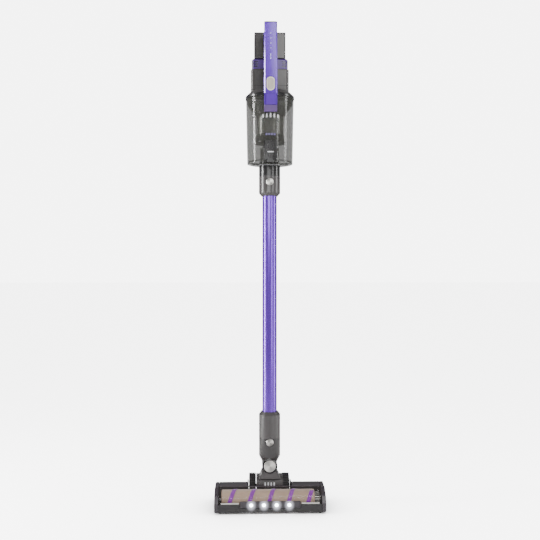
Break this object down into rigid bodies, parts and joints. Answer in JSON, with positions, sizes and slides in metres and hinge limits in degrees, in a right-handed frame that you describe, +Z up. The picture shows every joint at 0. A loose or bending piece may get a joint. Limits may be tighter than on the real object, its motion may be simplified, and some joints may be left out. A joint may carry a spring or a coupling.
{
  "type": "cordless stick vacuum",
  "caption": "Upright cordless stick vacuum: soft-roller floor head with lights, jointed neck, slim wand, clear dust cup, motor unit with loop handle and lift-off battery.",
  "frame": {"origin": "on the floor under the centre of the whole vacuum's box, standing upright", "axes": "+Z up along the wand, +X to the right seen from the front, -Y is where the floor head's lights and the handle face"},
  "size_m": [0.255, 0.183, 1.105],
  "materials": {
    "grey_shell": "fine satin moulded shell",
    "dark_shell": "near-black moulded plastic",
    "black_gloss": "glossy black moulding",
    "purple_gloss": "metallic purple lacquer",
    "purple_dull": "duller purple moulding",
    "purple_metal": "anodised-look purple tube",
    "smoked_clear": "smoked clear polycarbonate",
    "silver": "spun silver",
    "steel": "plain steel",
    "mesh_metal": "perforated dark steel",
    "velvet": "short taupe nap",
    "stripe_nap": "purple bristle band",
    "rubber": "soft black rubber",
    "lamp": "clear light lens",
    "pale_button": "pale champagne button",
    "filter_white": "white pleated filter",
    "copper_can": "motor can",
    "board_green": "printed board",
    "cell_wrap": "cell sleeve"
  },
  "bodies": {
    "floor_head": {"head_base": "dark_shell", "head_top_cover": "grey_shell", "visor": "smoked_clear", "visor_trim": "silver", "bumper": "rubber", "light_bar": "grey_shell", "light_lenses": "lamp", "end_cap_left": "grey_shell", "end_cap_right": "grey_shell", "glides": "rubber", "brush_motor": "copper_can", "drive_belt": "rubber", "roller_pins": "steel", "wheel_axle": "steel"},
    "brush_roll": {"roller_core": "dark_shell", "roller_sleeve": "velvet", "roller_stripes": "stripe_nap", "roller_pulley": "dark_shell"},
    "motor_drive": {"motor_pulley": "steel"},
    "wheel_left": {"wheel_hub_left": "dark_shell", "wheel_tyre_left": "rubber"},
    "wheel_right": {"wheel_hub_right": "dark_shell", "wheel_tyre_right": "rubber"},
    "neck": {"neck_yoke": "grey_shell", "pivot_stubs": "steel", "pivot_disc": "silver"},
    "elbow": {"elbow_shell": "grey_shell"},
    "elbow_button": {"lower_release_button": "silver"},
    "wand": {"wand_tube": "purple_metal", "wand_collar": "grey_shell"},
    "wand_button": {"upper_release_button": "silver"},
    "dust_cup": {"cup_wall": "smoked_clear", "cup_rim": "grey_shell", "cup_pins": "steel", "port_nozzle": "black_gloss", "inlet_duct": "dark_shell", "cyclone_cone": "dark_shell", "mesh_shroud": "mesh_metal", "cyclone_skirt": "dark_shell", "pre_filter": "filter_white"},
    "bin_door": {"cup_door": "smoked_clear", "door_seal": "rubber"},
    "bin_latch": {"door_latch": "dark_shell"},
    "power_unit": {"shoulder": "grey_shell", "body_shell": "grey_shell", "vent_ring": "purple_gloss", "exhaust_filter": "filter_white", "suction_motor": "copper_can", "battery_dock": "grey_shell", "control_board": "board_green", "handle_core": "dark_shell", "handle_front": "purple_gloss", "handle_tip": "purple_dull"},
    "suction_wheel": {"impeller": "dark_shell"},
    "trigger": {"power_button": "pale_button"},
    "cup_release": {"cup_release_button": "purple_gloss"},
    "battery": {"battery_case": "grey_shell", "battery_cells": "cell_wrap", "charge_socket": "black_gloss"},
    "battery_release": {"battery_latch": "dark_shell"}
  },
  "joints": [
    {"name": "brush_spin", "type": "hinge", "parent": "floor_head", "child": "brush_roll", "pos_m": [0, -0.0285, 0.024], "axis": [1, 0, 0], "continuous": true},
    {"name": "motor_spin", "type": "hinge", "parent": "floor_head", "child": "motor_drive", "pos_m": [0.11, 0.0175, 0.0204], "axis": [1, 0, 0], "continuous": true},
    {"name": "wheel_left_spin", "type": "hinge", "parent": "floor_head", "child": "wheel_left", "pos_m": [-0.04, 0.0615, 0.03], "axis": [1, 0, 0], "continuous": true},
    {"name": "wheel_right_spin", "type": "hinge", "parent": "floor_head", "child": "wheel_right", "pos_m": [0.04, 0.0615, 0.03], "axis": [1, 0, 0], "continuous": true},
    {"name": "neck_tilt", "type": "hinge", "parent": "floor_head", "child": "neck", "pos_m": [0, 0.0615, 0.03], "axis": [-1, 0, 0], "range_deg": [0, 75]},
    {"name": "elbow_swivel", "type": "hinge", "parent": "neck", "child": "elbow", "pos_m": [0, 0.0035, 0.097], "axis": [0, 1, 0], "range_deg": [-35, 35]},
    {"name": "elbow_button_press", "type": "slide", "parent": "elbow", "child": "elbow_button", "axis": [0, 1, 0], "range_m": [0, 0.003], "stiffness_N_per_m": 400},
    {"name": "wand_pull", "type": "slide", "parent": "elbow", "child": "wand", "axis": [0, 0, 1], "range_m": [0, 0.06]},
    {"name": "wand_button_press", "type": "slide", "parent": "wand", "child": "wand_button", "axis": [0, 1, 0], "range_m": [0, 0.003], "stiffness_N_per_m": 400},
    {"name": "cup_pull", "type": "slide", "parent": "wand", "child": "dust_cup", "axis": [0, 0, 1], "range_m": [0, 0.04]},
    {"name": "bin_door_swing", "type": "hinge", "parent": "dust_cup", "child": "bin_door", "pos_m": [0, -0.0245, 0.797], "axis": [1, 0, 0], "range_deg": [0, 90]},
    {"name": "bin_latch_rock", "type": "hinge", "parent": "dust_cup", "child": "bin_latch", "pos_m": [0, -0.07936, 0.8235], "axis": [-1, 0, 0], "range_deg": [0, 5], "stiffness_Nm_per_rad": 0.2},
    {"name": "power_unit_pull", "type": "slide", "parent": "dust_cup", "child": "power_unit", "axis": [0, 0, 1], "range_m": [0, 0.08]},
    {"name": "suction_spin", "type": "hinge", "parent": "power_unit", "child": "suction_wheel", "pos_m": [0, 0.0155, 0.97], "axis": [0, 0, 1], "continuous": true},
    {"name": "trigger_press", "type": "slide", "parent": "power_unit", "child": "trigger", "axis": [0, 1, 0], "range_m": [0, 0.0015], "stiffness_N_per_m": 500},
    {"name": "cup_release_press", "type": "slide", "parent": "power_unit", "child": "cup_release", "axis": [0, 1, 0], "range_m": [0, 0.0025], "stiffness_N_per_m": 400},
    {"name": "battery_pull", "type": "slide", "parent": "power_unit", "child": "battery", "axis": [0, 0, 1], "range_m": [0, 0.06]},
    {"name": "battery_release_press", "type": "slide", "parent": "battery", "child": "battery_release", "axis": [0, -1, 0], "range_m": [0, 0.002], "stiffness_N_per_m": 400}
  ],
  "couplings": [
    {"joint": "motor_spin", "follows": "brush_spin", "ratio": 1.8333}
  ]
}
